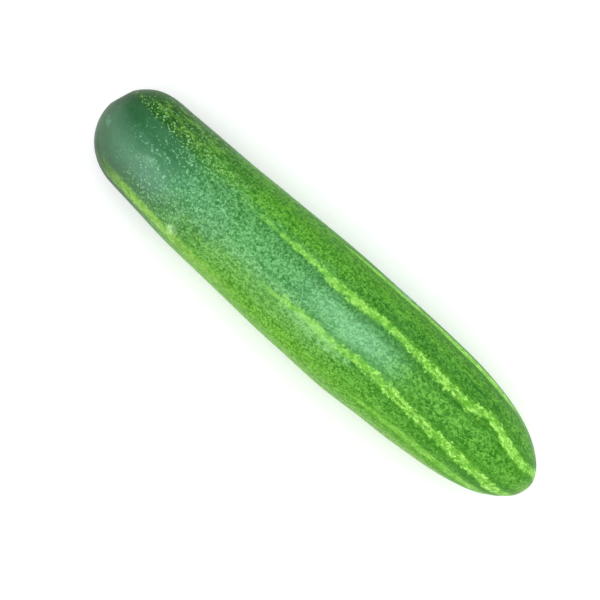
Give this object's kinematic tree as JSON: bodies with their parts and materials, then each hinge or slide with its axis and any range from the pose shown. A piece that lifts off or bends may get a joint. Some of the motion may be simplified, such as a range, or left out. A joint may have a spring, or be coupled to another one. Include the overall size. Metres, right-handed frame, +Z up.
{
  "type": "cucumber",
  "caption": "Whole green cucumber lying on its belly: a long, slightly tapered fruit with low ribs, a rounded stem end with its stem scar and a small blossom scar.",
  "frame": {"origin": "on the surface that the fruit lies on, under the middle of its box", "axes": "+X along the fruit from its stem end to its blossom end, +Z up, +Y to the side that the stem scar leans to"},
  "size_m": [0.19, 0.0424, 0.0415],
  "materials": {
    "skin": "smooth waxy green rind, mottled and striped in paler green, with a soft gloss"
  },
  "bodies": {
    "root": {"cucumber": "skin"}
  },
  "joints": []
}
